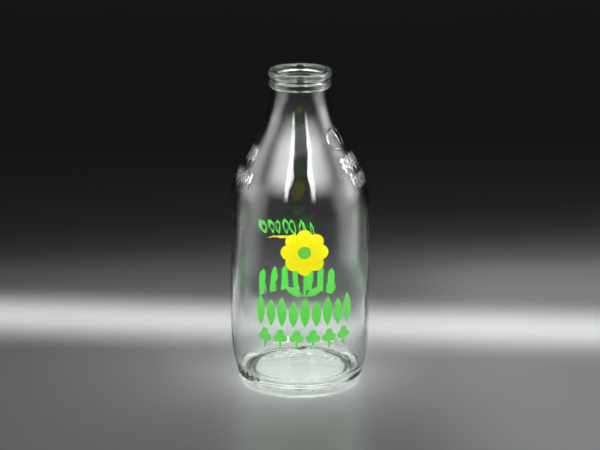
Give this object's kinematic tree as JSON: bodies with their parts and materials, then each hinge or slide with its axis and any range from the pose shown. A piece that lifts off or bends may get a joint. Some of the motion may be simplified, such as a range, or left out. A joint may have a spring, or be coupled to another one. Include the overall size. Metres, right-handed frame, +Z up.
{
  "type": "milk bottle",
  "caption": "Clear glass milk bottle with a sloping shoulder, short beaded neck and fired enamel print of a flower in a meadow.",
  "frame": {"origin": "on the surface that the bottle stands on, at the middle of its foot", "axes": "+Z up along the bottle's axis, towards the mouth; -Y towards the front print"},
  "size_m": [0.08, 0.0803, 0.1835],
  "materials": {
    "clear_glass": "clear, very slightly green, polished by fire",
    "yellow_enamel": "fired enamel, satin",
    "green_enamel": "fired enamel, satin",
    "amber_enamel": "fired enamel, satin"
  },
  "bodies": {
    "root": {"glass_body": "clear_glass", "front_flower_yellow": "yellow_enamel", "front_stem_green": "green_enamel", "front_grass_green": "green_enamel", "front_clovers_green": "green_enamel", "back_garland_green": "green_enamel", "back_swash_amber": "amber_enamel", "back_pickets_green": "green_enamel"}
  },
  "joints": []
}
